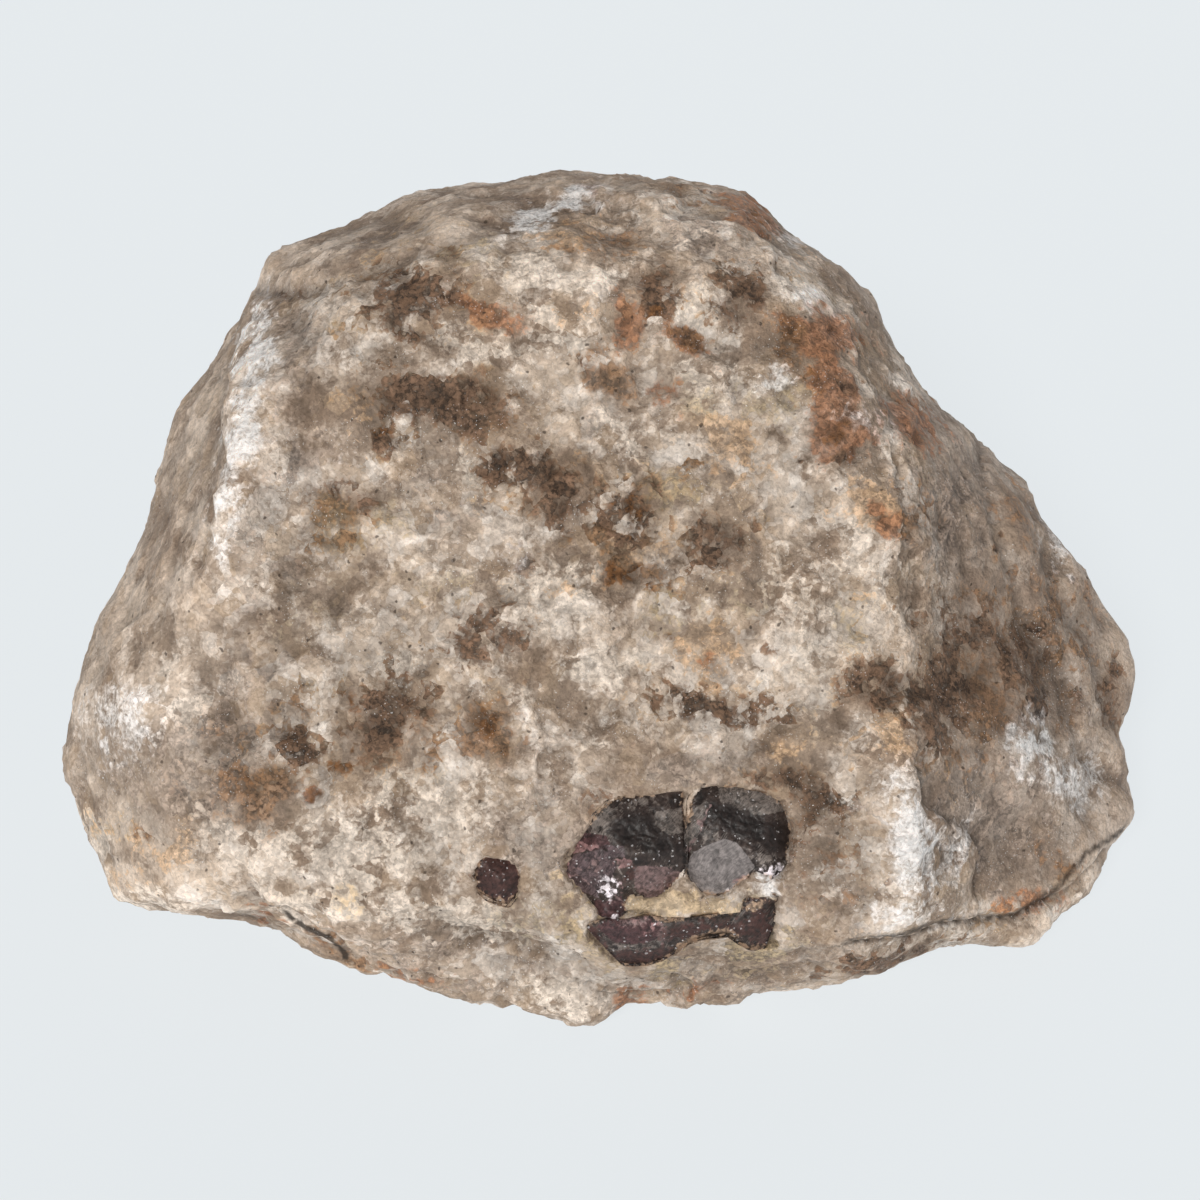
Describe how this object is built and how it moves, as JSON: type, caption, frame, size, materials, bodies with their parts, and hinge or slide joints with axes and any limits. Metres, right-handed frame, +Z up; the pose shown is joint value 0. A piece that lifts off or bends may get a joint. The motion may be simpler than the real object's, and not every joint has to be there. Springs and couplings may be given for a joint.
{
  "type": "almandine garnet in matrix",
  "caption": "Hand specimen of dark almandine garnets set in the leaning front face of a broken block of pale, iron-stained granular quartz and feldspar rock.",
  "frame": {"origin": "middle of the block's bounding box on the surface that it rests on", "axes": "+X to the right along the longest side, -Y towards the viewer on the side where the garnets show, +Z up"},
  "size_m": [0.1342, 0.0949, 0.0832],
  "materials": {
    "rock": "rough, sugary broken surface, stained with iron",
    "garnet": "glassy to resinous broken crystal, almost opaque"
  },
  "bodies": {
    "root": {"matrix": "rock", "garnet_upper_left": "garnet", "garnet_upper_right": "garnet", "garnet_lower": "garnet", "garnet_small": "garnet"}
  },
  "joints": []
}
